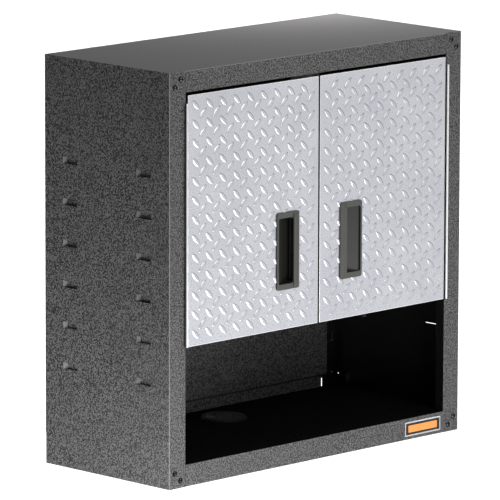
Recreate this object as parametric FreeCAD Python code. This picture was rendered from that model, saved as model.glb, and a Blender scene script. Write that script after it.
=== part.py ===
import FreeCAD, Part
import os

from FreeCAD import Vector

# Hanging garage wall cabinet in folded sheet steel: an open bay below, two tread-plate doors above.
# All lengths are millimetres. The model is built with x to the right, y towards the wall and z up
# from the cabinet's bottom edge, and is saved with its origin at the centre of the wall fixing holes.

# Case
WIDTH = 711.2
HEIGHT = 711.2
DEPTH = 304.8
SHEET = 0.9                      # thickness of the folded steel sheet
BORDER = 38.1                    # width of the stiles and of the bottom rail
HEADER = 36.6                    # height of the header above the doors
STILE_RETURN = 19.0              # depth of the stile's folded inner edge
REAR_FLANGE = 20.6
BEND_OUTER = 1.5                 # outside radius of a visible bend
BEND_INNER = BEND_OUTER - SHEET
SEAM = 0.3                       # gap where the header and rail meet the stiles
TAB_REACH = 348.0                # how far the header and rail tabs reach behind the stiles
TAB_OVERLAP = 14.0               # how far each tab is welded behind its own face
PAN_FLANGE = 24.0                # down-turned side flange of the top pan
PAN_FLANGE_FOOT = 6.0            # lower edge of the floor pan's side flanges
PAN_FRONT = -DEPTH + 30.0        # the side flanges stop short of the front and the back
PAN_BACK = -8.0
TOP_FLANGE = 20.0                # down-turned rear flange of the top pan
TOP_FLANGE_HALF = 330.0
UPSTAND = 19.0                   # rear upstand of the floor
UPSTAND_HALF = 319.6
BACK_BOTTOM = 53.0               # lower edge of the back sheet
FLANGE_FOOT = 322.4              # the rear flange widens towards the upstand at the floor

# Wall fixing
FIXING_SPACING_X = 406.4
FIXING_SPACING_Z = 457.2
FIXING_TOP = 647.7
FIXING_HOLE_R = 4.4
ORIGIN_HEIGHT = FIXING_TOP - FIXING_SPACING_Z / 2

# Shelf lances pressed into the sides, and the tabs that hold the pan flanges
LANCE_LENGTH = 34.5
LANCE_HEIGHT = 11.4
LANCE_DEPTH = 5.2
LANCE_COLUMNS = (-62.0, -242.4)
LANCE_BOTTOM = 177.0
LANCE_PITCH = 71.4
LANCE_ROWS = 6
TAB_LENGTH = 36.0
TAB_HEIGHT = 11.0
TAB_SLOT = 0.8
BOTTOM_TABS = (-76.2, -228.6)
BOTTOM_TAB_Z = 17.5
TOP_TABS = (-53.0, -254.0)
TOP_TAB_Z = 692.0
ASSEMBLY_HOLE_R = 1.3
ASSEMBLY_HOLES = ((-10.0, 58.7), (-261.0, 54.0))

# L-shaped slot in each rear flange
SLOT_INNER = 346.2
SLOT_OUTER = 348.8
SLOT_BOTTOM = 117.5
SLOT_TOP = 134.5
SLOT_FOOT = 3.0                  # how far the foot of the L reaches towards the bay
SLOT_FOOT_HEIGHT = 2.6

# Fasteners
CORNER_SCREWS = ((329.6, 698.5), (342.9, 685.2), (342.9, 26.0), (329.6, 12.7))
CORNER_SHANK_R = 2.0
CORNER_SHANK = 9.0
CORNER_HEAD_R = 5.3
CORNER_HEAD = 3.2
RECESS_REACH = 2.4               # cross recess: half its span, half its width and its depth
RECESS_HALF = 0.5
RECESS_DEPTH = 2.0
RIVET_R = 1.6
RIVET_HEAD_R = 3.0
RIVET_HEAD = 1.0
BACK_RIVET_ROWS = (190.5, 330.0, 470.0, 610.0)
BACK_RIVET_X = 345.0
TOP_RIVETS = (-203.2, 0.0, 203.2)
TOP_RIVET_Z = HEIGHT - 12.0

# Doors
DOOR_INNER = 1.5                 # from the centre line to the meeting edge
DOOR_OUTER = 314.5
DOOR_BOTTOM = 240.0
DOOR_HEIGHT = 429.9
DOOR_TOP = DOOR_BOTTOM + DOOR_HEIGHT
DOOR_FRONT = -DEPTH - 2.0
DOOR_THICK = 19.0
DOOR_BACK = DOOR_FRONT + DOOR_THICK
LINER_FLANGE = 9.0
STRIKE_X = (3.0, 30.0)
STRIKE_HEIGHT = 17.0
STRIKE_MARGIN = 3.0              # from the door's top edge
STRIKE_THICK = 1.2

# Continuous hinges
PIN_Y = -308.9
PIN_R = 0.9
PIN_CLEARANCE = 0.05
LEAF = 1.0
KNUCKLE_R = PIN_R + LEAF         # each knuckle is the leaf's edge rolled round the pin
HINGE_BOTTOM = 240.5
HINGE_TOP = 656.5
KNUCKLES = 26
KNUCKLE_GAP = 0.3
LEAF_FRONT = -304.6              # where the leaf becomes one strip behind the knuckles
LEAF_BACK = -288.6
HINGE_RIVETS = 5
HINGE_RIVET_Y = -296.5

# Handles: a bezel round a finger pocket, with a raised lip at the side of the meeting edge
HANDLE_X = 77.2
HANDLE_Z = 376.4
HANDLE_WIDTH = 54.0
HANDLE_HEIGHT = 134.5
HANDLE_CORNER = 5.0
BEZEL = 3.0                      # how far the bezel stands out of the door
BEZEL_EDGE = 1.2
LIP_WIDTH = 15.0
LIP_RISE = 2.2                   # how far the lip's crest stands out of the bezel
LIP_FLANK = 9.0                  # width of the slope up to the crest
LIP_THICK = 3.4
TUB_WIDTH = 48.0
TUB_HEIGHT = 122.0
TUB_DEPTH = 16.2
POCKET_HALF = 57.0               # half the height of the finger pocket
POCKET_RIM = 4.0                 # rim at the hinge side
POCKET_CORNER = 3.5
POCKET_UNDERCUT = 8.0            # how far the pocket runs on behind the lip
POCKET_FLOOR = 16.0              # depth of the pocket's deep end below the bezel
POCKET_SHALLOW = 1.3             # depth of its sloping floor at the hinge side

# Shelf
SHELF_HALF = 353.8
SHELF_FRONT = -283.0
SHELF_BACK = -5.0
SHELF_DEPTH = 22.0
SHELF_FOOT = 8.0
SHELF_REST = LANCE_BOTTOM + LANCE_PITCH + LANCE_HEIGHT / 2

# Cord grommet in the floor
GROMMET_Y = -76.2
GROMMET_R = 41.0
GROMMET_NECK_R = 38.0
GROMMET_BORE_R = 36.0
GROMMET_LEDGE_R = 33.0
GROMMET_RISE = 4.0
GROMMET_DROP = 16.0
CAP_R = 35.6
CAP_SEAT = 1.2
CAP_THICK = 3.2
CAP_EDGE = 0.8
NOTCH_WIDTH = 24.0
NOTCH_START = 14.0
NOTCH_ANGLE = 135.0

# Magnetic catch
CATCH_HALF = 34.0
CATCH_BRACKET_FRONT = -300.0
CATCH_PLATE_Y = -272.0
CATCH_SHEET = 1.2
CATCH_BOTTOM = 648.0
CATCH_HEIGHT = 20.0
CATCH_FRONT = -286.2
CATCH_RIVETS = (-26.0, 26.0)
CATCH_RIVET_Y = -292.0
MAGNET_PLACES = (-20.0, 20.0)
MAGNET_HALF = 7.0
MAGNET_DEPTH = 4.0
MAGNET_HEIGHT = 14.0
MAGNET_MARGIN = 3.0

# Hanging rail
RAIL_HALF = 332.0
RAIL_BOTTOM = 624.0
RAIL_HEIGHT = 48.0
RAIL_FLANGE = 16.0
RAIL_SHEET = 1.2

# Badge
BADGE_X = 264.2
BADGE_Z = 18.8
BADGE_WIDTH = 90.0
BADGE_HEIGHT = 25.4
BADGE_THICK = 1.4
BADGE_CORNER = 1.5

HALF = WIDTH / 2
INSIDE = HALF - SHEET
OPENING = HALF - BORDER
HEADER_FOOT = HEIGHT - HEADER
PIN_X = OPENING - LEAF + KNUCKLE_R
FLOOR = BORDER
X_AXIS, Y_AXIS, Z_AXIS = Vector(1, 0, 0), Vector(0, 1, 0), Vector(0, 0, 1)


def block(x0, x1, y0, y1, z0, z1):
    return Part.makeBox(x1 - x0, y1 - y0, z1 - z0, Vector(x0, y0, z0))


def disc(radius, length, start, axis):
    return Part.makeCylinder(radius, length, Vector(*start), axis)


def prism(outline, start, end, axis=Z_AXIS):
    """A straight-sided solid along z or x, over an outline of (x, y) or (y, z) points."""
    if axis == X_AXIS:
        points = [Vector(start, y, z) for y, z in outline]
    else:
        points = [Vector(x, y, start) for x, y in outline]
    return Part.Face(Part.makePolygon(points + points[:1])).extrude(axis * (end - start))


def joined(pieces):
    return pieces[0].fuse(pieces[1:]).removeSplitter()


def mirrored(shape):
    return shape.mirror(Vector(0, 0, 0), X_AXIS)


def bend(shape, radius, axis, *at):
    """Rounds the straight edges along an axis that pass through a place, given as (x, y), (x, z) or (y, z)."""
    across = [i for i in range(3) if "xyz"[i] != axis]
    along = "xyz".index(axis)
    chosen = []
    for edge in shape.Edges:
        ends = [v.Point for v in edge.Vertexes]
        if len(ends) != 2 or abs(ends[0][along] - ends[1][along]) < 1:
            continue
        if all(abs(end[i] - place) < 1e-3 for end in ends for i, place in zip(across, at)):
            chosen.append(edge)
    return shape.makeFillet(radius, chosen)


def save(name, shape):
    placed = shape.copy()
    placed.translate(Vector(0, 0, -ORIGIN_HEIGHT))
    placed.exportStep(f"parts/{name}.step")


def save_pair(name, right):
    """Saves a right-hand piece and its mirror image."""
    save(f"right_{name}", right)
    save(f"left_{name}", mirrored(right))


# Side panels

def lance(y, z):
    """A bridge pressed inwards between two cuts; the shelf rests on its upper edge."""
    start, end = y - LANCE_LENGTH / 2, y + LANCE_LENGTH / 2
    outline = [
        (HALF, start), (HALF - LANCE_DEPTH, start + LANCE_DEPTH),
        (HALF - LANCE_DEPTH, end - LANCE_DEPTH), (HALF, end),
        (INSIDE, end), (INSIDE - LANCE_DEPTH, end - LANCE_DEPTH),
        (INSIDE - LANCE_DEPTH, start + LANCE_DEPTH), (INSIDE, start),
    ]
    return prism(outline, z - LANCE_HEIGHT / 2, z + LANCE_HEIGHT / 2)


def lance_window(y, z):
    half, rise = LANCE_LENGTH / 2, LANCE_HEIGHT / 2
    return block(INSIDE - 1, HALF + 1, y - half, y + half, z - rise, z + rise)


def tab_cut(y, z, free_end):
    """The U-shaped cut round a tab; free_end is +1 where its free edge is on top, -1 below."""
    half, rise = TAB_LENGTH / 2, TAB_HEIGHT / 2
    x0, x1 = INSIDE - 1, HALF + 1
    edge = z + free_end * (rise - TAB_SLOT / 2)
    return [
        block(x0, x1, y - half, y - half + TAB_SLOT, z - rise, z + rise),
        block(x0, x1, y + half - TAB_SLOT, y + half, z - rise, z + rise),
        block(x0, x1, y - half, y + half, edge - TAB_SLOT / 2, edge + TAB_SLOT / 2),
    ]


def side_panel():
    panel = joined([
        block(INSIDE, HALF, -DEPTH, -SHEET, 0, HEIGHT),
        block(OPENING, HALF, -DEPTH, -DEPTH + SHEET, 0, HEIGHT),
        block(OPENING, OPENING + SHEET, -DEPTH, -DEPTH + STILE_RETURN, BORDER, HEADER_FOOT),
        block(HALF - REAR_FLANGE, HALF, -2 * SHEET, -SHEET, FLOOR, HEIGHT - PAN_FLANGE - 2),
        block(FLANGE_FOOT, HALF, -2 * SHEET, -SHEET, FLOOR, FLOOR + UPSTAND),
    ])
    panel = bend(panel, BEND_OUTER, "z", HALF, -DEPTH)
    panel = bend(panel, BEND_INNER, "z", INSIDE, -DEPTH + SHEET)
    panel = bend(panel, SHEET - 0.1, "z", OPENING, -DEPTH)
    heights = [LANCE_BOTTOM + LANCE_PITCH * row for row in range(LANCE_ROWS)]
    lances = [(y, z) for y in LANCE_COLUMNS for z in heights]
    cuts = [lance_window(y, z) for y, z in lances]
    for y in BOTTOM_TABS:
        cuts += tab_cut(y, BOTTOM_TAB_Z, -1)
    for y in TOP_TABS:
        cuts += tab_cut(y, TOP_TAB_Z, +1)
    for y, z in ASSEMBLY_HOLES:
        cuts.append(disc(ASSEMBLY_HOLE_R, 2 * SHEET, (INSIDE - SHEET / 2, y, z), X_AXIS))
    for x, z in CORNER_SCREWS:
        cuts.append(disc(CORNER_SHANK_R, 2 * SHEET, (x, -DEPTH - SHEET / 2, z), Y_AXIS))
    for z in hinge_rivet_heights():
        cuts.append(disc(RIVET_R, 2 * SHEET, (OPENING - SHEET / 2, HINGE_RIVET_Y, z), X_AXIS))
    for z in BACK_RIVET_ROWS:
        cuts.append(disc(RIVET_R, 2 * SHEET, (BACK_RIVET_X, -2.5 * SHEET, z), Y_AXIS))
    cuts.append(block(SLOT_INNER, SLOT_OUTER, -2.5 * SHEET, -SHEET / 2, SLOT_BOTTOM, SLOT_TOP))
    cuts.append(block(SLOT_INNER - SLOT_FOOT, SLOT_INNER, -2.5 * SHEET, -SHEET / 2,
                      SLOT_BOTTOM, SLOT_BOTTOM + SLOT_FOOT_HEIGHT))
    return joined([panel.cut(cuts)] + [lance(y, z) for y, z in lances])


# Top and bottom pans

def front_strip(z0, z1, fold_z, tab_z0, tab_z1):
    """The header or rail: a face between the stiles, a folded edge and a tab behind each stile."""
    half = OPENING - SEAM
    pieces = [
        block(-half, half, -DEPTH, -DEPTH + SHEET, z0, z1),
        block(-half, half, -DEPTH, -DEPTH + STILE_RETURN, fold_z, fold_z + SHEET),
    ]
    for x0, x1 in ((-TAB_REACH, -half + TAB_OVERLAP), (half - TAB_OVERLAP, TAB_REACH)):
        pieces.append(block(x0, x1, -DEPTH + SHEET, -DEPTH + 2 * SHEET, tab_z0, tab_z1))
    return pieces


def corner_holes(low, high):
    holes = []
    for x, z in CORNER_SCREWS:
        if low < z < high:
            for side in (-1, 1):
                holes.append(disc(CORNER_SHANK_R, 3 * SHEET, (side * x, -DEPTH, z), Y_AXIS))
    return holes


def top_panel():
    half = OPENING - SEAM
    behind = -DEPTH + 2 * SHEET
    pieces = front_strip(HEADER_FOOT, HEIGHT, HEADER_FOOT, HEADER_FOOT + 2, HEIGHT - 1)
    pieces.append(block(-half, half, -DEPTH, behind, HEIGHT - SHEET, HEIGHT))
    pieces.append(block(-INSIDE, INSIDE, behind, -SHEET, HEIGHT - SHEET, HEIGHT))
    for x0 in (-INSIDE, INSIDE - SHEET):
        pieces.append(block(x0, x0 + SHEET, PAN_FRONT, PAN_BACK, HEIGHT - PAN_FLANGE, HEIGHT))
    pieces.append(block(-TOP_FLANGE_HALF, TOP_FLANGE_HALF, -2 * SHEET, -SHEET, HEIGHT - TOP_FLANGE, HEIGHT))
    panel = joined(pieces)
    panel = bend(panel, BEND_OUTER, "x", -DEPTH, HEIGHT)
    panel = bend(panel, SHEET - 0.1, "x", -DEPTH, HEADER_FOOT)
    holes = corner_holes(HEADER_FOOT, HEIGHT)
    for x in TOP_RIVETS:
        holes.append(disc(RIVET_R, 2 * SHEET, (x, -2.5 * SHEET, TOP_RIVET_Z), Y_AXIS))
    for x in CATCH_RIVETS:
        holes.append(disc(RIVET_R, 2 * SHEET, (x, CATCH_RIVET_Y, HEADER_FOOT - SHEET / 2), Z_AXIS))
    return panel.cut(holes)


def bottom_panel():
    half = OPENING - SEAM
    behind = -DEPTH + 2 * SHEET
    pieces = front_strip(0, BORDER, 0, 1, BORDER - 2)
    pieces.append(block(-half, half, -DEPTH, behind, FLOOR - SHEET, FLOOR))
    pieces.append(block(-INSIDE, INSIDE, behind, -SHEET, FLOOR - SHEET, FLOOR))
    for x0 in (-INSIDE, INSIDE - SHEET):
        pieces.append(block(x0, x0 + SHEET, PAN_FRONT, PAN_BACK, PAN_FLANGE_FOOT, FLOOR))
    pieces.append(block(-UPSTAND_HALF, UPSTAND_HALF, -2 * SHEET, -SHEET, FLOOR - SHEET, FLOOR + UPSTAND))
    panel = joined(pieces)
    panel = bend(panel, SHEET - 0.1, "x", -DEPTH, FLOOR)
    panel = bend(panel, SHEET - 0.1, "x", -DEPTH, 0)
    holes = corner_holes(0, BORDER)
    holes.append(disc(GROMMET_NECK_R, 3 * SHEET, (0, GROMMET_Y, FLOOR - 2 * SHEET), Z_AXIS))
    return panel.cut(holes)


# Back sheet and hanging rail

def fixing_holes(rows, y0, length):
    holes = []
    for x in (-FIXING_SPACING_X / 2, FIXING_SPACING_X / 2):
        for z in rows:
            holes.append(disc(FIXING_HOLE_R, length, (x, y0, z), Y_AXIS))
    return holes


def back_panel():
    sheet = block(-HALF, HALF, -SHEET, 0, BACK_BOTTOM, HEIGHT)
    holes = fixing_holes((FIXING_TOP - FIXING_SPACING_Z, FIXING_TOP), -2 * SHEET, 3 * SHEET)
    for x, z in back_rivet_places():
        holes.append(disc(RIVET_R, 3 * SHEET, (x, -2 * SHEET, z), Y_AXIS))
    return sheet.cut(holes)


def hanging_rail():
    """A channel welded to the back sheet; the upper wall screws pass through its web."""
    front = -SHEET - RAIL_FLANGE
    web_front = -SHEET - RAIL_SHEET
    top = RAIL_BOTTOM + RAIL_HEIGHT
    rail = joined([
        block(-RAIL_HALF, RAIL_HALF, web_front, -SHEET, RAIL_BOTTOM, top),
        block(-RAIL_HALF, RAIL_HALF, front, -SHEET, RAIL_BOTTOM, RAIL_BOTTOM + RAIL_SHEET),
        block(-RAIL_HALF, RAIL_HALF, front, -SHEET, top - RAIL_SHEET, top),
    ])
    return rail.cut(fixing_holes((FIXING_TOP,), web_front - 1, RAIL_SHEET + 2))


# Fasteners

def corner_screw(x, z):
    """A domed screw with a cross recess."""
    face = -DEPTH
    sphere_r = (CORNER_HEAD_R ** 2 + CORNER_HEAD ** 2) / (2 * CORNER_HEAD)
    ball = Part.makeSphere(sphere_r, Vector(x, face - CORNER_HEAD + sphere_r, z))
    head = ball.common(disc(CORNER_HEAD_R, CORNER_HEAD, (x, face - CORNER_HEAD, z), Y_AXIS))
    shank = disc(CORNER_SHANK_R, CORNER_SHANK, (x, face, z), Y_AXIS)
    floor = face - CORNER_HEAD + RECESS_DEPTH
    recess = [
        block(x - RECESS_REACH, x + RECESS_REACH, face - 4, floor, z - RECESS_HALF, z + RECESS_HALF),
        block(x - RECESS_HALF, x + RECESS_HALF, face - 4, floor, z - RECESS_REACH, z + RECESS_REACH),
    ]
    return joined([head, shank]).cut(recess)


def rivet(start, axis, length):
    """A flush rivet: the shank starts flush and its head closes the far end."""
    head_start = Vector(*start) + axis * length
    shank = Part.makeCylinder(RIVET_R, length, Vector(*start), axis)
    head = Part.makeCone(RIVET_HEAD_R, RIVET_HEAD_R - 0.6, RIVET_HEAD, head_start, axis)
    return joined([shank, head])


def back_rivet_places():
    sides = [(side * BACK_RIVET_X, z) for side in (-1, 1) for z in BACK_RIVET_ROWS]
    return sides + [(x, TOP_RIVET_Z) for x in TOP_RIVETS]


def hinge_rivet_heights():
    pitch = (HINGE_TOP - HINGE_BOTTOM) / HINGE_RIVETS
    return [HINGE_BOTTOM + pitch * (i + 0.5) for i in range(HINGE_RIVETS)]


# Continuous hinge

def knuckle_span(index):
    pitch = (HINGE_TOP - HINGE_BOTTOM) / KNUCKLES
    start = HINGE_BOTTOM + pitch * index
    return start + KNUCKLE_GAP / 2, start + pitch - KNUCKLE_GAP / 2


def hinge_leaf(first, leaf_x0, leaf_x1, necks, bore_r):
    """One leaf: a strip, every second knuckle starting from the first, and the necks that carry it."""
    pieces = [block(leaf_x0, leaf_x1, LEAF_FRONT, LEAF_BACK, HINGE_BOTTOM, HINGE_TOP)]
    for index in range(first, KNUCKLES, 2):
        z0, z1 = knuckle_span(index)
        pieces.append(disc(KNUCKLE_R, z1 - z0, (PIN_X, PIN_Y, z0), Z_AXIS))
        pieces += [block(*neck, z0, z1) for neck in necks]
    length = HINGE_TOP - HINGE_BOTTOM + 2
    leaf = joined(pieces).cut(disc(bore_r, length, (PIN_X, PIN_Y, HINGE_BOTTOM - 1), Z_AXIS))
    holes = [disc(RIVET_R, 2 * LEAF, (leaf_x0 - LEAF / 2, HINGE_RIVET_Y, z), X_AXIS)
             for z in hinge_rivet_heights()]
    return leaf.cut(holes)


def save_hinges():
    straight_neck = (OPENING - LEAF, OPENING, PIN_Y, LEAF_FRONT + 1)
    rolled_back = PIN_Y + KNUCKLE_R
    goose_neck = (DOOR_OUTER, PIN_X, rolled_back - LEAF, rolled_back)
    rise = (DOOR_OUTER, DOOR_OUTER + LEAF, rolled_back - LEAF, LEAF_FRONT + 1)
    frame_leaf = hinge_leaf(0, OPENING - LEAF, OPENING, [straight_neck], PIN_R)
    door_leaf = hinge_leaf(1, DOOR_OUTER, DOOR_OUTER + LEAF, [goose_neck, rise], PIN_R + PIN_CLEARANCE)
    pin = disc(PIN_R, HINGE_TOP - HINGE_BOTTOM, (PIN_X, PIN_Y, HINGE_BOTTOM), Z_AXIS)
    frame_rivets = [rivet((OPENING - LEAF, HINGE_RIVET_Y, z), X_AXIS, LEAF + SHEET)
                    for z in hinge_rivet_heights()]
    door_rivets = [rivet((DOOR_OUTER + LEAF, HINGE_RIVET_Y, z), -X_AXIS, LEAF + 2 * SHEET)
                   for z in hinge_rivet_heights()]
    save_pair("hinge_frame_leaf", frame_leaf)
    save_pair("hinge_door_leaf", door_leaf)
    save_pair("hinge_pin", pin)
    save_pair("hinge_frame_rivets", Part.makeCompound(frame_rivets))
    save_pair("hinge_door_rivets", Part.makeCompound(door_rivets))


# Doors, made for the right and mirrored

def door_skin():
    """The tread-plate pan: a face with all four edges folded back."""
    x0, x1 = DOOR_INNER, DOOR_OUTER
    outer = block(x0, x1, DOOR_FRONT, DOOR_BACK, DOOR_BOTTOM, DOOR_TOP)
    for x in (x0, x1):
        outer = bend(outer, BEND_OUTER, "z", x, DOOR_FRONT)
    for z in (DOOR_BOTTOM, DOOR_TOP):
        outer = bend(outer, BEND_OUTER, "x", DOOR_FRONT, z)
    inner = block(x0 + SHEET, x1 - SHEET, DOOR_FRONT + SHEET, DOOR_BACK + 1,
                  DOOR_BOTTOM + SHEET, DOOR_TOP - SHEET)
    cut_out = block(HANDLE_X - TUB_WIDTH / 2, HANDLE_X + TUB_WIDTH / 2, DOOR_FRONT - 1, DOOR_FRONT + 2,
                    HANDLE_Z - TUB_HEIGHT / 2, HANDLE_Z + TUB_HEIGHT / 2)
    holes = [disc(RIVET_R, 2 * SHEET, (DOOR_OUTER - 1.5 * SHEET, HINGE_RIVET_Y, z), X_AXIS)
             for z in hinge_rivet_heights()]
    return outer.cut([inner, cut_out] + holes)


def door_liner():
    """The shallow pan welded into the back of the skin."""
    x0, x1 = DOOR_INNER + SHEET, DOOR_OUTER - SHEET
    z0, z1 = DOOR_BOTTOM + SHEET, DOOR_TOP - SHEET
    outer = block(x0, x1, DOOR_BACK - LINER_FLANGE, DOOR_BACK, z0, z1)
    inner = block(x0 + SHEET, x1 - SHEET, DOOR_BACK - LINER_FLANGE - 1, DOOR_BACK - SHEET,
                  z0 + SHEET, z1 - SHEET)
    rivet_holes = [disc(RIVET_R, 2 * SHEET, (x1 - 1.5 * SHEET, HINGE_RIVET_Y, z), X_AXIS)
                   for z in hinge_rivet_heights()]
    return outer.cut([inner] + rivet_holes)


def upright_edges_rounded(shape, radius, x_places, z_places):
    """Rounds the corners of an upright plate, seen from the front."""
    for x in x_places:
        for z in z_places:
            shape = bend(shape, radius, "y", x, z)
    return shape


def handle_bezel(mouth):
    """A thin plate with rounded edges round the pocket's mouth, and the lip's low roll on it."""
    face = DOOR_FRONT - BEZEL
    x0, x1 = HANDLE_X - HANDLE_WIDTH / 2, HANDLE_X + HANDLE_WIDTH / 2
    z0, z1 = HANDLE_Z - HANDLE_HEIGHT / 2, HANDLE_Z + HANDLE_HEIGHT / 2
    plate = upright_edges_rounded(block(x0, x1, face, DOOR_FRONT, z0, z1), HANDLE_CORNER, (x0, x1), (z0, z1))
    plate = plate.cut(mouth)
    plate = plate.makeFillet(BEZEL_EDGE, [edge for edge in plate.Edges if edge.BoundBox.YMax < face + 0.01])
    start, crest_start, crest_end = x0 + BEZEL_EDGE, x0 + BEZEL_EDGE + LIP_FLANK, x0 + LIP_WIDTH
    base, crest = face + BEZEL_EDGE, face - LIP_RISE
    lip = prism([(start, base), (start, face), (crest_start, crest), (crest_end, crest), (crest_end, base)],
                z0, z1)
    lip = bend(lip, 2 * LIP_FLANK, "z", crest_start, crest)
    lip = bend(lip, BEZEL_EDGE, "z", crest_end, crest)
    low, high = z0 + BEZEL_EDGE, z1 - BEZEL_EDGE
    ends = prism([(base, low), (face, low), (crest, low + LIP_FLANK), (crest, high - LIP_FLANK), (face, high),
                  (base, high)], x0, x1, X_AXIS)
    return joined([plate, lip.common(ends)])


def handle_pocket():
    """The finger pocket's mouth, and the pocket: its floor slopes down and runs on behind the lip."""
    face = DOOR_FRONT - BEZEL
    hinge_side = HANDLE_X + HANDLE_WIDTH / 2 - POCKET_RIM
    lip_edge = HANDLE_X - HANDLE_WIDTH / 2 + LIP_WIDTH
    deep_side = lip_edge - POCKET_UNDERCUT
    floor, lip_back, outside = face + POCKET_FLOOR, face - LIP_RISE + LIP_THICK, face - LIP_RISE - 1
    z0, z1 = HANDLE_Z - POCKET_HALF, HANDLE_Z + POCKET_HALF
    mouth = block(lip_edge, hinge_side, outside, floor, z0, z1)
    mouth = upright_edges_rounded(mouth, POCKET_CORNER, (lip_edge, hinge_side), (z0, z1))
    slope = prism([(lip_edge, outside), (lip_edge, floor), (lip_edge + POCKET_RIM, floor),
                   (hinge_side, face + POCKET_SHALLOW), (hinge_side, outside)], z0, z1)
    undercut = block(deep_side, lip_edge + 1, lip_back, floor, z0 + POCKET_CORNER, z1 - POCKET_CORNER)
    undercut = bend(undercut, LIP_THICK, "z", deep_side, floor)
    return mouth, mouth.common(slope).fuse(undercut)


def door_handle():
    mouth, pocket = handle_pocket()
    tub = block(HANDLE_X - TUB_WIDTH / 2, HANDLE_X + TUB_WIDTH / 2, DOOR_FRONT, DOOR_FRONT + TUB_DEPTH,
                HANDLE_Z - TUB_HEIGHT / 2, HANDLE_Z + TUB_HEIGHT / 2)
    return joined([handle_bezel(mouth), tub]).cut(pocket)


def strike_plate():
    top = DOOR_TOP - STRIKE_MARGIN
    return block(*STRIKE_X, DOOR_BACK, DOOR_BACK + STRIKE_THICK, top - STRIKE_HEIGHT, top)


def save_doors():
    save_pair("door_skin", door_skin())
    save_pair("door_liner", door_liner())
    save_pair("door_handle", door_handle())
    save_pair("strike_plate", strike_plate())


# Magnetic catch under the header

def catch_bracket():
    base = HEADER_FOOT + SHEET
    top = base + CATCH_SHEET
    plate_back = CATCH_PLATE_Y + CATCH_SHEET
    bracket = joined([
        block(-CATCH_HALF, CATCH_HALF, CATCH_PLATE_Y, plate_back, CATCH_BOTTOM, top),
        block(-CATCH_HALF, CATCH_HALF, CATCH_BRACKET_FRONT, plate_back, base, top),
    ])
    return bracket.cut([disc(RIVET_R, 3 * CATCH_SHEET, (x, CATCH_RIVET_Y, base - SHEET), Z_AXIS)
                        for x in CATCH_RIVETS])


def catch_magnet(x):
    z0 = CATCH_BOTTOM + MAGNET_MARGIN
    return block(x - MAGNET_HALF, x + MAGNET_HALF, CATCH_FRONT, CATCH_FRONT + MAGNET_DEPTH,
                 z0, z0 + MAGNET_HEIGHT)


def save_catch():
    magnets = [catch_magnet(x) for x in MAGNET_PLACES]
    housing = block(-CATCH_HALF + 1, CATCH_HALF - 1, CATCH_FRONT, CATCH_PLATE_Y,
                    CATCH_BOTTOM, CATCH_BOTTOM + CATCH_HEIGHT)
    rivets = [rivet((x, CATCH_RIVET_Y, HEADER_FOOT), Z_AXIS, SHEET + CATCH_SHEET) for x in CATCH_RIVETS]
    save("catch_bracket", catch_bracket())
    save("catch_housing", housing.cut(magnets))
    save("catch_magnets", Part.makeCompound(magnets))
    save("catch_rivets", Part.makeCompound(rivets))


# Shelf

def shelf():
    """A down-turned pan whose folded-in feet stand on the lances."""
    z0, z1 = SHELF_REST, SHELF_REST + SHELF_DEPTH
    pieces = [block(-SHELF_HALF, SHELF_HALF, SHELF_FRONT, SHELF_BACK, z1 - SHEET, z1)]
    for side in (-1, 1):
        outer, inner, foot = side * SHELF_HALF, side * (SHELF_HALF - SHEET), side * (SHELF_HALF - SHELF_FOOT)
        pieces.append(block(min(outer, inner), max(outer, inner), SHELF_FRONT, SHELF_BACK, z0, z1))
        pieces.append(block(min(outer, foot), max(outer, foot), SHELF_FRONT, SHELF_BACK, z0, z0 + SHEET))
    pieces.append(block(-SHELF_HALF, SHELF_HALF, SHELF_FRONT, SHELF_FRONT + SHEET, z0, z1))
    pieces.append(block(-SHELF_HALF, SHELF_HALF, SHELF_FRONT, SHELF_FRONT + 12, z0, z0 + SHEET))
    pieces.append(block(-SHELF_HALF, SHELF_HALF, SHELF_BACK - SHEET, SHELF_BACK, z0, z1))
    pan = joined(pieces)
    return bend(pan, SHEET - 0.1, "x", SHELF_FRONT, z1)


# Cord grommet

def turned(profile):
    """A ring or disc turned about the grommet's axis from (radius, height) points."""
    points = [Vector(r, 0, z) for r, z in profile]
    face = Part.Face(Part.makePolygon(points + points[:1]))
    body = face.revolve(Vector(0, 0, 0), Z_AXIS, 360)
    body.translate(Vector(0, GROMMET_Y, FLOOR))
    return body


def grommet_ring():
    return turned([
        (GROMMET_NECK_R, -GROMMET_DROP), (GROMMET_NECK_R, 0), (GROMMET_R, 0), (GROMMET_R, 1.2),
        (GROMMET_R - 2.2, GROMMET_RISE), (GROMMET_BORE_R, GROMMET_RISE), (GROMMET_BORE_R, CAP_SEAT),
        (GROMMET_LEDGE_R, CAP_SEAT), (GROMMET_LEDGE_R, CAP_SEAT - 2), (GROMMET_BORE_R, CAP_SEAT - 4),
        (GROMMET_BORE_R, -GROMMET_DROP),
    ])


def grommet_cap():
    """The cap that turns in the ring, with a round-bottomed notch for the cord at its edge."""
    top = CAP_SEAT + CAP_THICK
    cap = turned([(0, CAP_SEAT), (CAP_R, CAP_SEAT), (CAP_R, top - CAP_EDGE), (CAP_R - CAP_EDGE, top), (0, top)])
    notch_centre = NOTCH_START + NOTCH_WIDTH / 2
    notch = block(notch_centre, CAP_R + 1, -NOTCH_WIDTH / 2, NOTCH_WIDTH / 2, 0, top + 1)
    notch = notch.fuse(disc(NOTCH_WIDTH / 2, top + 1, (notch_centre, 0, 0), Z_AXIS))
    notch.rotate(Vector(0, 0, 0), Z_AXIS, NOTCH_ANGLE)
    notch.translate(Vector(0, GROMMET_Y, FLOOR))
    return cap.cut(notch)


# Badge on the bottom rail

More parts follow.
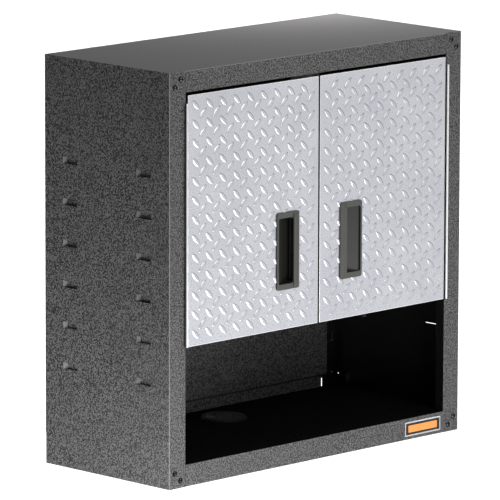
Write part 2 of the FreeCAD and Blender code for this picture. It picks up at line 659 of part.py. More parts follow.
def name_badge():
    x0, x1 = BADGE_X - BADGE_WIDTH / 2, BADGE_X + BADGE_WIDTH / 2
    z0, z1 = BADGE_Z - BADGE_HEIGHT / 2, BADGE_Z + BADGE_HEIGHT / 2
    plate = block(x0, x1, -DEPTH - BADGE_THICK, -DEPTH, z0, z1)
    return upright_edges_rounded(plate, BADGE_CORNER, (x0, x1), (z0, z1))


def main():
    os.makedirs("parts", exist_ok=True)
    save_pair("side_panel", side_panel())
    save("top_panel", top_panel())
    save("bottom_panel", bottom_panel())
    save("back_panel", back_panel())
    save("hanging_rail", hanging_rail())
    screws = [corner_screw(side * x, z) for side in (-1, 1) for x, z in CORNER_SCREWS]
    save("corner_screws", Part.makeCompound(screws))
    rivets = [rivet((x, 0, z), -Y_AXIS, 2 * SHEET) for x, z in back_rivet_places()]
    save("back_panel_rivets", Part.makeCompound(rivets))
    save_hinges()
    save_doors()
    save_catch()
    save("shelf", shelf())
    save("grommet_ring", grommet_ring())
    save("grommet_cap", grommet_cap())
    save("name_badge", name_badge())


main()
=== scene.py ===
import math

import bpy
import numpy as np
from mathutils import Matrix, Vector


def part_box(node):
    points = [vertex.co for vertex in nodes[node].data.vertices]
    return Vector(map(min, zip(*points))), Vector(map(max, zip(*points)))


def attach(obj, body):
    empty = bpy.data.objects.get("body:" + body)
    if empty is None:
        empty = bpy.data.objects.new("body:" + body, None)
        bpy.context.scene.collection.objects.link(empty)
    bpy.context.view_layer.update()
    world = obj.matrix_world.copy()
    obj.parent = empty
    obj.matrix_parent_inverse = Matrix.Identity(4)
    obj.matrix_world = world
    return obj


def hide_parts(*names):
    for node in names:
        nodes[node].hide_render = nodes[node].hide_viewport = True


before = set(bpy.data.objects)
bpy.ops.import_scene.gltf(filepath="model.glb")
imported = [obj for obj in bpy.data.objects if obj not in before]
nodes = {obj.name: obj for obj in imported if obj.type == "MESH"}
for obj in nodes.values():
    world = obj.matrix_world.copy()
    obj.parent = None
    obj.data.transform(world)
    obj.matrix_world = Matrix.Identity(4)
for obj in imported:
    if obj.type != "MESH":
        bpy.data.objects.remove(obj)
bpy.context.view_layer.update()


# ---- Camera -------------------------------------------------------------------------------------
# Stands in front and to the left, a little above the cabinet, with a long lens so that the
# upright edges stay upright.

LENS = 440.6
SENSOR_WIDTH = 36.0
CAMERA_X = -7.3884
CAMERA_Y = -7.5356
CAMERA_ABOVE_CASE_FOOT = 2.2489
CAMERA_TURN = math.radians(-44.971)
CAMERA_TILT = math.radians(79.681)
CAMERA_ROLL = math.radians(0.177)

case_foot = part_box("left_side_panel")[0].z
camera_data = bpy.data.cameras.new("camera")
camera_data.sensor_width = SENSOR_WIDTH
camera_data.lens = LENS
camera = bpy.data.objects.new("camera", camera_data)
bpy.context.scene.collection.objects.link(camera)
camera_place = Matrix.Translation((CAMERA_X, CAMERA_Y, case_foot + CAMERA_ABOVE_CASE_FOOT))
turn = Matrix.Rotation(CAMERA_TURN, 4, "Z")
tilt = Matrix.Rotation(CAMERA_TILT, 4, "X")
roll = Matrix.Rotation(CAMERA_ROLL, 4, "Z")
camera.matrix_world = camera_place @ turn @ tilt @ roll
bpy.context.scene.camera = camera


# ---- Studio -------------------------------------------------------------------------------------
# A white paper floor well below the hanging cabinet, lit by its own lamps far behind it, a dim
# surround, and soft lamps round the cabinet.

FLOOR_DROP = 0.9
FLOOR_HALF = 30.0
FLOOR_LAMP_RISE = 2.2
FLOOR_LAMP_SIZE = 3.0
FLOOR_LAMP_POWER = 105.0
SURROUND = 0.2


def mesh_piece(name, points, faces, material, smooth=False):
    """A new mesh object in the row frame, in metres, with one material."""
    mesh = bpy.data.meshes.new(name)
    mesh.from_pydata([tuple(p) for p in points], [], [tuple(f) for f in faces])
    mesh.materials.append(material)
    mesh.polygons.foreach_set("use_smooth", [smooth] * len(mesh.polygons))
    mesh.update()
    piece = bpy.data.objects.new(name, mesh)
    bpy.context.scene.collection.objects.link(piece)
    return piece


def new_material(name, colour, roughness, metallic=0.0):
    """A material with one shader, and its tree and shader for adding detail."""
    material = bpy.data.materials.new(name)
    material.use_nodes = True
    shader = material.node_tree.nodes["Principled BSDF"]
    shader.inputs["Base Color"].default_value = (*colour, 1.0)
    shader.inputs["Roughness"].default_value = roughness
    shader.inputs["Metallic"].default_value = metallic
    return material, material.node_tree, shader


def soft_lamp(name, place, target, size, power):
    """A square area lamp that the camera doesn't see, aimed at a point."""
    data = bpy.data.lights.new(name, "AREA")
    data.size = size
    data.energy = power
    lamp = bpy.data.objects.new(name, data)
    lamp.location = place
    lamp.rotation_euler = (Vector(target) - Vector(place)).to_track_quat("-Z", "Y").to_euler()
    lamp.visible_camera = False
    bpy.context.scene.collection.objects.link(lamp)


floor_paint, floor_tree, floor_shader = new_material("floor_paper", (0.93, 0.93, 0.93), 0.9)
floor_grain = floor_tree.nodes.new("ShaderNodeTexNoise")
floor_grain.inputs["Scale"].default_value = 30.0
floor_bump = floor_tree.nodes.new("ShaderNodeBump")
floor_bump.inputs["Strength"].default_value = 0.02
floor_tree.links.new(floor_grain.outputs["Fac"], floor_bump.inputs["Height"])
floor_tree.links.new(floor_bump.outputs["Normal"], floor_shader.inputs["Normal"])
floor_z = case_foot - FLOOR_DROP
floor_corners = [(-FLOOR_HALF, -FLOOR_HALF, floor_z), (FLOOR_HALF, -FLOOR_HALF, floor_z),
                 (FLOOR_HALF, FLOOR_HALF, floor_z), (-FLOOR_HALF, FLOOR_HALF, floor_z)]
floor = mesh_piece("floor", floor_corners, [(0, 1, 2, 3)], floor_paint)

world = bpy.data.worlds.new("studio")
world.use_nodes = True
bpy.context.scene.world = world
world_shader = world.node_tree.nodes["Background"]
world_shader.inputs["Color"].default_value = (1.0, 1.0, 1.0, 1.0)
world_shader.inputs["Strength"].default_value = SURROUND

case_centre = (0.0, -0.15, -0.06)
for name, along in (("near_floor_lamp", 3.4), ("far_floor_lamp", 6.4), ("end_floor_lamp", 9.4)):
    soft_lamp(name, (along, along, floor_z + FLOOR_LAMP_RISE), (along, along, floor_z),
              FLOOR_LAMP_SIZE, FLOOR_LAMP_POWER)
soft_lamp("key_lamp", (-0.1, -2.4, 1.25), case_centre, 1.3, 24.0)
soft_lamp("right_sheen_lamp", (2.9, -3.1, -0.5), case_centre, 2.4, 15.0)
soft_lamp("left_front_lamp", (-2.7, -2.7, -0.6), case_centre, 1.4, 3.0)
soft_lamp("upper_right_lamp", (2.8, -0.6, 2.7), case_centre, 1.5, 30.0)
soft_lamp("rear_right_card", (0.45, 0.25, 0.45), (0.15, -0.1, 0.29), 0.35, 5.0)
soft_lamp("left_card", (-1.0, -0.1, -0.75), (-0.36, -0.15, -0.3), 0.6, 9.5)
soft_lamp("front_card", (0.0, -1.3, -0.75), (0.0, -0.3, -0.35), 0.7, 11.5)
bpy.context.scene.view_settings.view_transform = "Standard"


# ---- Case panels --------------------------------------------------------------------------------
# Side panels, top and bottom pans, back sheet and hanging rail: folded steel sheet with a dark
# hammered powder coat outside. A painted highlight on the bends and a painted sheen on upward faces
# make them paler; the inside is darkened near-black as painted shade.

OUTER_DARK = (0.004, 0.0038, 0.0038)
OUTER_LIGHT = (0.135, 0.134, 0.136)
OUTER_CLOUD = (0.06, 0.056, 0.053)
# Painted sheen: the flat paler tone for upward faces, in place of their reflection.
PAINTED_TOP_SHEEN = (0.2, 0.196, 0.196)
# Painted highlight: the pale tone for the rounded bends.
PAINTED_BEND_HIGHLIGHT = (0.24, 0.24, 0.24)
# Painted shadow: a black band on the back sheet just above the bottom pan's upstand.
PAINTED_SEAM_SHADOW = (0.001, 0.001, 0.001)
SEAM_HALF = 0.0012
# Inside tones: the near-black one is painted shade for the inside of the case; the flecked one is close to
# the outer coat.
PAINTED_SHADE_INSIDE = (0.004, 0.01, 0.16)
FLECKED_INSIDE = (0.01, 0.11, 0.45)


def add_node(tree, kind, **inputs):
    """A shader node with some of its inputs set."""
    node = tree.nodes.new(kind)
    for name, value in inputs.items():
        node.inputs[name].default_value = value
    return node


def object_place(tree):
    return tree.nodes.new("ShaderNodeTexCoord").outputs["Object"]


def ramp(tree, fac, stops):
    """A colour ramp from (position, grey) stops."""
    node = tree.nodes.new("ShaderNodeValToRGB")
    elements = node.color_ramp.elements
    while len(elements) < len(stops):
        elements.new(0.5)
    for element, (position, grey) in zip(elements, stops):
        element.position = position
        element.color = (grey, grey, grey, 1.0)
    tree.links.new(fac, node.inputs["Fac"])
    return node.outputs["Color"]


def mixed(tree, fac, first, second):
    """Colour between first and second; either may be a colour or a socket."""
    node = tree.nodes.new("ShaderNodeMix")
    node.data_type = "RGBA"
    tree.links.new(fac, node.inputs[0])
    for socket, value in ((node.inputs[6], first), (node.inputs[7], second)):
        if isinstance(value, tuple):
            socket.default_value = (*value, 1.0)
        else:
            tree.links.new(value, socket)
    return node.outputs[2]


def linked_node(tree, kind, operation, *values):
    """A maths node; each value is a number or a socket."""
    node = tree.nodes.new(kind)
    node.operation = operation
    for socket, value in zip(node.inputs, values):
        if isinstance(value, bpy.types.NodeSocket):
            tree.links.new(value, socket)
        else:
            socket.default_value = value
    return node


def faces_inwards(tree, place):
    """1 on the faces that look into the case, 0 on its outside faces."""
    geometry = tree.nodes.new("ShaderNodeNewGeometry")
    offset = linked_node(tree, "ShaderNodeVectorMath", "SUBTRACT", place, case_centre)
    towards = linked_node(tree, "ShaderNodeVectorMath", "DOT_PRODUCT", offset.outputs[0],
                          geometry.outputs["True Normal"])
    return linked_node(tree, "ShaderNodeMath", "LESS_THAN", towards.outputs["Value"], 0.0).outputs[0]


def faces_towards(tree, direction):
    """1 on the faces that look in a direction."""
    geometry = tree.nodes.new("ShaderNodeNewGeometry")
    towards = linked_node(tree, "ShaderNodeVectorMath", "DOT_PRODUCT", geometry.outputs["True Normal"],
                          direction)
    return linked_node(tree, "ShaderNodeMath", "GREATER_THAN", towards.outputs["Value"], 0.5).outputs[0]


def on_a_bend(tree):
    """1 on the rounded bends between flat faces."""
    geometry = tree.nodes.new("ShaderNodeNewGeometry")
    apart = linked_node(tree, "ShaderNodeVectorMath", "ABSOLUTE", geometry.outputs["True Normal"])
    parts = tree.nodes.new("ShaderNodeSeparateXYZ")
    tree.links.new(apart.outputs[0], parts.inputs[0])
    widest = linked_node(tree, "ShaderNodeMath", "MAXIMUM", parts.outputs["X"], parts.outputs["Y"])
    widest = linked_node(tree, "ShaderNodeMath", "MAXIMUM", widest.outputs[0], parts.outputs["Z"])
    return linked_node(tree, "ShaderNodeMath", "LESS_THAN", widest.outputs[0], 0.97).outputs[0]


def recolour(material, mask, colour):
    """Another colour where a mask is 1."""
    tree = material.node_tree
    base = tree.nodes["Principled BSDF"].inputs["Base Color"]
    tree.links.new(mixed(tree, mask, base.links[0].from_socket, colour), base)


def place_part(tree, axis):
    """The place along one axis."""
    parts = tree.nodes.new("ShaderNodeSeparateXYZ")
    tree.links.new(object_place(tree), parts.inputs[0])
    return parts.outputs[axis]


def hammered_coat(name, inner, inner_front):
    """Dark grey powder coat with a dimpled, flecked surface; its inward faces take the inner finishes,
    smoother and darker, where the near-black is painted shade. Each inner finish is its dark tone, its light
    tone and its roughness. Upward faces have no sheen and a paler tone as a painted sheen; bends get a
    painted highlight."""
    material, tree, shader = new_material(name, (0.1, 0.1, 0.1), 0.45)
    place = object_place(tree)
    inwards, front = faces_inwards(tree, place), faces_towards(tree, (0.0, -1.0, 0.0))
    dimples = add_node(tree, "ShaderNodeTexVoronoi", Scale=330.0, Randomness=1.0)
    dimples.feature = "SMOOTH_F1"
    flecks = add_node(tree, "ShaderNodeTexNoise", Scale=390.0, Detail=2.0, Roughness=0.6)
    clouds = add_node(tree, "ShaderNodeTexNoise", Scale=9.0, Detail=2.0)
    for pattern in (dimples, flecks, clouds):
        tree.links.new(place, pattern.inputs["Vector"])
    fleck_mask = ramp(tree, flecks.outputs["Fac"], [(0.46, 0.0), (0.55, 1.0)])
    outer = mixed(tree, fleck_mask, OUTER_DARK, OUTER_LIGHT)
    cloud_mask = ramp(tree, clouds.outputs["Fac"], [(0.3, 0.0), (0.7, 0.2)])
    outer = mixed(tree, cloud_mask, outer, OUTER_CLOUD)
    upwards = faces_towards(tree, (0.0, 0.0, 1.0))
    # Painted sheen: upward faces take a paler flat tone in place of their reflection.
    outer = mixed(tree, upwards, outer, PAINTED_TOP_SHEEN)
    # Painted highlight: the rounded bends take a pale tone.
    outer = mixed(tree, on_a_bend(tree), outer, PAINTED_BEND_HIGHLIGHT)
    inner_colours = [mixed(tree, fleck_mask, (dark,) * 3, (light,) * 3)
                     for dark, light, _ in (inner, inner_front)]
    inside = mixed(tree, front, *inner_colours)
    tree.links.new(mixed(tree, inwards, outer, inside), shader.inputs["Base Color"])
    outer_gloss = ramp(tree, flecks.outputs["Fac"], [(0.3, 0.5), (0.7, 0.34)])
    inside_gloss = mixed(tree, front, (inner[2],) * 3, (inner_front[2],) * 3)
    tree.links.new(mixed(tree, inwards, outer_gloss, inside_gloss), shader.inputs["Roughness"])
    tree.links.new(mixed(tree, upwards, (0.5,) * 3, (0.0,) * 3), shader.inputs["Specular IOR Level"])
    bump = add_node(tree, "ShaderNodeBump", Distance=0.0006)
    tree.links.new(mixed(tree, inwards, (0.6,) * 3, (0.06,) * 3), bump.inputs["Strength"])
    tree.links.new(dimples.outputs["Distance"], bump.inputs["Height"])
    tree.links.new(bump.outputs["Normal"], shader.inputs["Normal"])
    return material


def dress(material, *names):
    """Gives CAD nodes their finish."""
    for name in names:
        slots = nodes[name].data.materials
        slots.clear()
        slots.append(material)


# Painted shade: sides, top, rail, shelf and bay floor are near-black on their inward faces.
panel_coat = hammered_coat("panel_coat", PAINTED_SHADE_INSIDE, PAINTED_SHADE_INSIDE)
dress(panel_coat, "left_side_panel", "right_side_panel", "top_panel", "hanging_rail", "shelf")
dress(hammered_coat("floor_coat", PAINTED_SHADE_INSIDE, FLECKED_INSIDE), "bottom_panel")
back_coat = hammered_coat("back_coat", FLECKED_INSIDE, FLECKED_INSIDE)
dress(back_coat, "back_panel")
# Painted shadow: a black band on the back sheet just above the upstand, where the gap between them is in
# shade.
upstand_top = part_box("bottom_panel")[1].z
seam = linked_node(back_coat.node_tree, "ShaderNodeMath", "COMPARE", place_part(back_coat.node_tree, "Z"),
                   upstand_top + SEAM_HALF, SEAM_HALF)
recolour(back_coat, seam.outputs[0], PAINTED_SEAM_SHADOW)


# ---- Screws and rivets --------------------------------------------------------------------------
# Domed black screws hold each frame corner; zinc rivets hold the hinges, catch and back sheet.

def plated_metal(name, colour, roughness):
    """Plated steel with faint tarnish."""
    material, tree, shader = new_material(name, colour, roughness, 1.0)
    place = object_place(tree)
    tarnish = add_node(tree, "ShaderNodeTexNoise", Scale=260.0, Detail=4.0)
    tree.links.new(place, tarnish.inputs["Vector"])
    dull = tuple(c * 0.7 for c in colour)
    tree.links.new(mixed(tree, tarnish.outputs["Fac"], colour, dull), shader.inputs["Base Color"])
    low, high = roughness * 0.8, roughness * 1.3
    tree.links.new(ramp(tree, tarnish.outputs["Fac"], [(0.3, low), (0.7, high)]), shader.inputs["Roughness"])
    return material


def black_nickel_plate():
    """Black nickel, so the domes are dark with a bright spot where they catch a lamp."""
    material, tree, shader = new_material("black_nickel", (0.045, 0.045, 0.045), 0.15, 1.0)
    place = object_place(tree)
    film = add_node(tree, "ShaderNodeTexNoise", Scale=600.0, Detail=3.0)
    tree.links.new(place, film.inputs["Vector"])
    tree.links.new(mixed(tree, film.outputs["Fac"], (0.03, 0.03, 0.031), (0.06, 0.06, 0.062)),
                   shader.inputs["Base Color"])
    tree.links.new(ramp(tree, film.outputs["Fac"], [(0.3, 0.12), (0.7, 0.2)]), shader.inputs["Roughness"])
    return material


zinc = plated_metal("zinc_plate", (0.55, 0.56, 0.58), 0.35)
dress(black_nickel_plate(), "corner_screws")
dress(zinc, "back_panel_rivets", "catch_rivets", "left_hinge_frame_rivets", "right_hinge_frame_rivets",
      "left_hinge_door_rivets", "right_hinge_door_rivets")


# ---- Continuous hinges --------------------------------------------------------------------------
# Rolled bright steel knuckles interlocking on a full-length pin; the leaves next to the barrel are painted
# near-black as painted shade for the gap.

BARREL_X = 0.3184
BARREL_Y = -0.3089
BARREL_REACH = 0.00196
# Painted shade for the hinge leaves.
PAINTED_LEAF_SHADE = (0.02, 0.02, 0.021)


def barrel_and_leaf_steel():
    """Bright rolled knuckles; the leaves behind them are painted near-black, painted shade for the gap
    beside the barrel.
    """
    material, tree, shader = new_material("hinge_steel", (0.93, 0.93, 0.93), 0.38, metallic=0.35)
    place = object_place(tree)
    tarnish = add_node(tree, "ShaderNodeTexNoise", Scale=260.0, Detail=4.0)
    tree.links.new(place, tarnish.inputs["Vector"])
    apart = linked_node(tree, "ShaderNodeVectorMath", "ABSOLUTE", place)
    flat = linked_node(tree, "ShaderNodeVectorMath", "MULTIPLY", apart.outputs[0], (1.0, 1.0, 0.0))
    reach = linked_node(tree, "ShaderNodeVectorMath", "DISTANCE", flat.outputs[0],
                        (BARREL_X, -BARREL_Y, 0.0))
    # Painted shade: everything farther from the pin axis than the barrel is near-black.
    leaf = linked_node(tree, "ShaderNodeMath", "GREATER_THAN", reach.outputs["Value"], BARREL_REACH)
    bright = mixed(tree, tarnish.outputs["Fac"], (0.97, 0.97, 0.97), (0.82, 0.82, 0.83))
    tree.links.new(mixed(tree, leaf.outputs[0], bright, PAINTED_LEAF_SHADE), shader.inputs["Base Color"])
    tree.links.new(ramp(tree, tarnish.outputs["Fac"], [(0.3, 0.3), (0.7, 0.45)]), shader.inputs["Roughness"])
    return material


hinge_steel = barrel_and_leaf_steel()
for side in ("left", "right"):
    dress(hinge_steel, f"{side}_hinge_frame_leaf", f"{side}_hinge_door_leaf", f"{side}_hinge_pin")


# ---- Door skins ---------------------------------------------------------------------------------
# Each door is a pan of embossed steel sheet with raised lozenges in two directions, all four edges
# folded back, and a silver powder coat, with a painted highlight on the bends and painted shade on the
# returns behind them.

TREAD_PITCH_X = 0.0324
TREAD_PITCH_Z = 0.0326
TREAD_COLUMNS = 9
TREAD_ROWS = 14
TREAD_BOTTOM_MARGIN = 0.012
LOZENGE_HALF_LENGTH = 0.0125
LOZENGE_HALF_WIDTH = 0.0039
LOZENGE_RISE = 0.001
LOZENGE_FLANK = 0.0013
LOZENGE_ANGLE = math.radians(46.0)
DOOR_GRID = 0.0009
EDGE_RADIUS = 0.0015
SHEET = 0.0009
RETURN_LIP = 0.008
HANDLE_COVER = 0.0035
# How far the first column is from the door's left edge, and the first / and \ lozenges from its top.
TREAD_STARTS = {"left": (0.0187, 0.0343, 0.0184), "right": (0.0192, 0.0199, 0.036)}


def lozenge_heights(across, up, centres, lean):
    """Height of the lozenges above the sheet at grid points; lean is +1 for /, -1 for \\."""
    heights = np.zeros_like(across)
    along = np.array([math.cos(LOZENGE_ANGLE), lean * math.sin(LOZENGE_ANGLE)])
    for centre_x, centre_z in centres:
        dx, dz = across - centre_x, up - centre_z
        near = (abs(dx) < LOZENGE_HALF_LENGTH) & (abs(dz) < LOZENGE_HALF_LENGTH)
        a = (dx * along[0] + dz * along[1])[near] / LOZENGE_HALF_LENGTH
        b = (dz * along[0] - dx * along[1])[near] / LOZENGE_HALF_WIDTH
        from_edge = LOZENGE_HALF_WIDTH * (1.0 - a ** 2 - abs(b))
        heights[near] += LOZENGE_RISE * np.sin(np.clip(from_edge / LOZENGE_FLANK, 0.0, 1.0) * math.pi / 2)
    return heights


def door_ring(low, high, inset, y, count_x, count_z):
    """Points once round the door's edge at one depth; the corner radius shrinks with the inset."""
    radius = EDGE_RADIUS - inset if inset < EDGE_RADIUS else 0.0
    x0, x1 = low.x + inset + radius, high.x - inset - radius
    z0, z1 = low.z + inset + radius, high.z - inset - radius
    flat_x = np.linspace(low.x + EDGE_RADIUS, high.x - EDGE_RADIUS, count_x)
    flat_z = np.linspace(low.z + EDGE_RADIUS, high.z - EDGE_RADIUS, count_z)
    ring = [(x, y, z0 - radius) for x in flat_x]
    ring += corner_arc(x1, z0, radius, -90.0, y)
    ring += [(x1 + radius, y, z) for z in flat_z]
    ring += corner_arc(x1, z1, radius, 0.0, y)
    ring += [(x, y, z1 + radius) for x in flat_x[::-1]]
    ring += corner_arc(x0, z1, radius, 90.0, y)
    ring += [(x0 - radius, y, z) for z in flat_z[::-1]]
    ring += corner_arc(x0, z0, radius, 180.0, y)
    return ring


def corner_arc(x, z, radius, start, y, steps=3):
    angles = [math.radians(start + 90.0 * step / steps) for step in range(1, steps)]
    return [(x + radius * math.cos(a), y, z + radius * math.sin(a)) for a in angles]


def tread_door_skin(side, margin, slash_top, backslash_top):
    """The door's pan: a grid with raised lozenges, closed round its edge by rings that fold back."""
    low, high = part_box(f"{side}_door_skin")
    handle_low, handle_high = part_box(f"{side}_door_handle")
    count_x = round((high.x - low.x) / DOOR_GRID)
    count_z = round((high.z - low.z) / DOOR_GRID)
    xs = np.linspace(low.x + EDGE_RADIUS, high.x - EDGE_RADIUS, count_x)
    zs = np.linspace(low.z + EDGE_RADIUS, high.z - EDGE_RADIUS, count_z)
    across, up = np.meshgrid(xs, zs)
    heights = np.zeros_like(across)
    bottom = low.z + TREAD_BOTTOM_MARGIN
    for lean, first_x, top in ((1, margin + TREAD_PITCH_X / 2, slash_top), (-1, margin, backslash_top)):
        columns = [low.x + first_x + TREAD_PITCH_X * i for i in range(TREAD_COLUMNS)]
        rows = [high.z - top - TREAD_PITCH_Z * i for i in range(TREAD_ROWS)]
        rows = [z for z in rows if z > bottom]
        heights += lozenge_heights(across, up, [(x, z) for x in columns for z in rows], lean)
    points = np.stack([across, low.y - heights, up], axis=-1).reshape(-1, 3).tolist()
    faces = []
    for j in range(count_z - 1):
        in_z = handle_low.z + HANDLE_COVER < zs[j] < handle_high.z - HANDLE_COVER
        for i in range(count_x - 1):
            if in_z and handle_low.x + HANDLE_COVER < xs[i] < handle_high.x - HANDLE_COVER:
                continue
            a = j * count_x + i
            faces.append((a, a + 1, a + count_x + 1, a + count_x))
    flat_faces = len(faces)
    bend_faces = add_folded_edge(points, faces, low, high, count_x, count_z)
    skin = mesh_piece(f"{side}_tread_plate", points, faces, silver_coat, smooth=True)
    # The bend's front half takes the painted highlight, the returns behind it the painted shade.
    skin.data.materials.append(bend_highlight_paint)
    skin.data.materials.append(return_shade_paint)
    finishes = [0] * flat_faces + [1] * bend_faces + [2] * (len(faces) - flat_faces - bend_faces)
    skin.data.polygons.foreach_set("material_index", finishes)
    return skin


def add_folded_edge(points, faces, low, high, count_x, count_z):
    """Rings from the grid's border round the bend and back along the folded edges. Returns how many of
    the new faces make the bend's front half, which carries the painted highlight."""
    grid = list(range(count_x))
    right = [j * count_x + count_x - 1 for j in range(count_z)]
    top = [(count_z - 1) * count_x + i for i in range(count_x)][::-1]
    left = [j * count_x for j in range(count_z)][::-1]
    border = (grid + [grid[-1]] * 2 + right + [right[-1]] * 2 + top + [top[-1]] * 2 + left + [left[-1]] * 2)
    steps, highlight_steps = 4, 2
    depths = []
    for step in range(1, steps + 1):
        angle = math.radians(90.0 * step / steps)
        depths.append((EDGE_RADIUS * (1 - math.sin(angle)), low.y + EDGE_RADIUS * (1 - math.cos(angle))))
    depths += [(0.0, high.y), (SHEET, high.y), (SHEET, high.y - RETURN_LIP)]
    previous = border
    for inset, y in depths:
        start = len(points)
        points += door_ring(low, high, inset, y, count_x, count_z)
        ring = list(range(start, len(points)))
        for k in range(len(ring)):
            n = (k + 1) % len(ring)
            corners = [previous[n], previous[k], ring[k], ring[n]]
            if corners[0] == corners[1]:
                corners = corners[1:]
            faces.append(tuple(corners))
        previous = ring
    return highlight_steps * len(border)


def silver_powder(name, low_tone, high_tone, metallic):
    """Satin coat with a fine orange-peel surface, drifting between two tones."""
    material, tree, shader = new_material(name, low_tone, 0.35, metallic)
    place = object_place(tree)
    peel = add_node(tree, "ShaderNodeTexNoise", Scale=420.0, Detail=3.0)
    drift = add_node(tree, "ShaderNodeTexNoise", Scale=14.0, Detail=3.0)
    for pattern in (peel, drift):
        tree.links.new(place, pattern.inputs["Vector"])
    drift_mask = ramp(tree, drift.outputs["Fac"], [(0.3, 0.0), (0.7, 1.0)])
    tree.links.new(mixed(tree, drift_mask, low_tone, high_tone), shader.inputs["Base Color"])
    tree.links.new(ramp(tree, peel.outputs["Fac"], [(0.3, 0.25), (0.7, 0.36)]), shader.inputs["Roughness"])
    bump = add_node(tree, "ShaderNodeBump", Strength=0.08, Distance=0.0003)
    tree.links.new(peel.outputs["Fac"], bump.inputs["Height"])
    tree.links.new(bump.outputs["Normal"], shader.inputs["Normal"])
    return material


silver_coat = silver_powder("silver_coat", (0.52, 0.533, 0.575), (0.585, 0.595, 0.63), 0.6)
# Painted highlight for the doors' bends.
bend_highlight_paint = silver_powder("bend_highlight_paint", (0.9, 0.91, 0.93), (0.95, 0.95, 0.96), 0.3)
# Painted shade for the folded returns, so the gap between the doors reads dark.
return_shade_paint = silver_powder("return_shade_paint", (0.03, 0.03, 0.032), (0.045, 0.045, 0.047), 0.0)
for side, starts in TREAD_STARTS.items():
    skin = tread_door_skin(side, *starts)
    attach(skin, f"{side}_door")
    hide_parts(f"{side}_door_skin")


# ---- Door liners and strike plates --------------------------------------------------------------
# A shallow pan closes the back of each door, in the same silver coat; a small zinc plate near the
# meeting edge meets the magnet.

for side in ("left", "right"):
    dress(silver_coat, f"{side}_door_liner")
    dress(zinc, f"{side}_strike_plate")


# ---- Handles ------------------------------------------------------------------------------------
# Recessed pulls moulded in dark grey plastic, with painted shade inside the pocket, snapped into each door
# near its meeting edge.

RIM_DEPTH = 0.003
RIM_GREY = (0.055, 0.055, 0.05)
# Painted shade for the faces deep in the pocket.
POCKET_PAINTED_SHADE = (0.012, 0.012, 0.011)


def moulded_plastic(name, colour, roughness, grain=0.15):
    """Moulded plastic with a fine spark-eroded grain."""
    material, tree, shader = new_material(name, colour, roughness)
    place = object_place(tree)
    texture = add_node(tree, "ShaderNodeTexNoise", Scale=1400.0, Detail=2.0)
    tree.links.new(place, texture.inputs["Vector"])
    low, high = roughness * 0.85, roughness * 1.15
    tree.links.new(ramp(tree, texture.outputs["Fac"], [(0.3, low), (0.7, high)]), shader.inputs["Roughness"])
    light = tuple(c * 1.25 for c in colour)
    tree.links.new(mixed(tree, texture.outputs["Fac"], colour, light), shader.inputs["Base Color"])
    bump = add_node(tree, "ShaderNodeBump", Strength=grain, Distance=0.0001)
    tree.links.new(texture.outputs["Fac"], bump.inputs["Height"])
    tree.links.new(bump.outputs["Normal"], shader.inputs["Normal"])
    return material


handle_grey = moulded_plastic("handle_grey", RIM_GREY, 0.4)
# Painted shade: faces deeper than the rim take a darker grey.
deep = linked_node(handle_grey.node_tree, "ShaderNodeMath", "GREATER_THAN",
                   place_part(handle_grey.node_tree, "Y"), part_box("left_door_handle")[0].y + RIM_DEPTH)
recolour(handle_grey, deep.outputs[0], POCKET_PAINTED_SHADE)
dress(handle_grey, "left_door_handle", "right_door_handle")


# ---- Magnetic catch -----------------------------------------------------------------------------
# A zinc bracket under the header carries a black housing with two ferrite blocks.

black_plastic = moulded_plastic("black_plastic", (0.012, 0.012, 0.012), 0.1, grain=0.05)
dress(zinc, "catch_bracket")
dress(black_plastic, "catch_housing")
dress(moulded_plastic("ferrite", (0.05, 0.05, 0.052), 0.55, grain=0.4), "catch_magnets")


# ---- Cord grommet -------------------------------------------------------------------------------
# A glossy black plastic ring pressed into the floor, and a cap that turns in it, with a notch for
# the cord.

dress(black_plastic, "grommet_ring", "grommet_cap")


# ---- Badge --------------------------------------------------------------------------------------
# A small stamped plate stuck to the right of the bottom rail: a raised bright border round a black
# field with one plain orange bar. It has no lettering.

BADGE_BORDER = 0.0022
BADGE_STEP = 0.0005
BADGE_BEVEL = 0.0003
BAR_MARGIN_X = 0.009
BAR_MARGIN_Z = 0.0065
PLATE_CORNER = 0.0015
FACE_CORNER = 0.0013
FIELD_CORNER = 0.0008
FIELD_FOOT_CORNER = 0.0006
BAR_CORNER = 0.001
BAR_FACE_CORNER = 0.0008
BAR_ORANGE = (0.85, 0.27, 0.06)


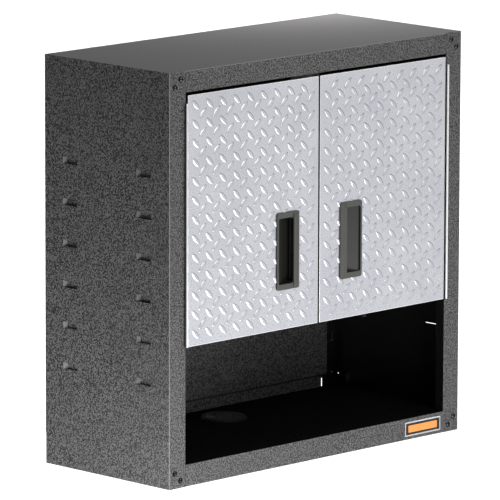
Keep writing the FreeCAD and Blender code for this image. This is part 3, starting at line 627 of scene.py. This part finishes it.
def rounded_loop(low, high, inset, radius, y, steps=4):
    """Points once round a rounded rectangle in a plane that faces the front."""
    x0, x1 = low.x + inset + radius, high.x - inset - radius
    z0, z1 = low.z + inset + radius, high.z - inset - radius
    loop = []
    for x, z, start in ((x1, z0, -90), (x1, z1, 0), (x0, z1, 90), (x0, z0, 180)):
        for step in range(steps + 1):
            angle = math.radians(start + 90.0 * step / steps)
            loop.append((x + radius * math.cos(angle), y, z + radius * math.sin(angle)))
    return loop


def stacked_loops(name, loops, material):
    """A closed solid from loops of equal length, with a flat face over the first and the last."""
    count = len(loops[0])
    faces = [tuple(range(count))]
    for ring in range(len(loops) - 1):
        a = ring * count
        for i in range(count):
            n = (i + 1) % count
            faces.append((a + n, a + i, a + count + i, a + count + n))
    faces.append(tuple(range((len(loops) - 1) * count, len(loops) * count))[::-1])
    return mesh_piece(name, [point for loop in loops for point in loop], faces, material)


low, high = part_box("name_badge")
field_y = low.y + BADGE_STEP
plate_loops = [
    rounded_loop(low, high, 0.0, PLATE_CORNER, high.y),
    rounded_loop(low, high, 0.0, PLATE_CORNER, low.y + BADGE_BEVEL),
    rounded_loop(low, high, BADGE_BEVEL, FACE_CORNER, low.y),
    rounded_loop(low, high, BADGE_BORDER, FIELD_CORNER, low.y),
    rounded_loop(low, high, BADGE_BORDER + BADGE_BEVEL, FIELD_FOOT_CORNER, field_y),
]
border_metal = plated_metal("badge_border", (0.85, 0.85, 0.86), 0.25)
badge_plate = stacked_loops("badge_plate", plate_loops, border_metal)
badge_plate.data.materials.append(moulded_plastic("badge_field", (0.008, 0.008, 0.009), 0.25, grain=0.04))
badge_plate.data.polygons[-1].material_index = 1
bar_low = Vector((low.x + BAR_MARGIN_X, 0.0, low.z + BAR_MARGIN_Z))
bar_high = Vector((high.x - BAR_MARGIN_X, 0.0, high.z - BAR_MARGIN_Z))
bar_y = field_y - BADGE_STEP / 2
bar_loops = [
    rounded_loop(bar_low, bar_high, 0.0, BAR_CORNER, field_y),
    rounded_loop(bar_low, bar_high, 0.0, BAR_CORNER, bar_y + BADGE_STEP / 4),
    rounded_loop(bar_low, bar_high, BADGE_STEP / 4, BAR_FACE_CORNER, bar_y),
]
bar_plastic = moulded_plastic("badge_orange", BAR_ORANGE, 0.3, grain=0.05)
badge_bar = stacked_loops("badge_bar", bar_loops, bar_plastic)
for piece in (badge_plate, badge_bar):
    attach(piece, "case")
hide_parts("name_badge")
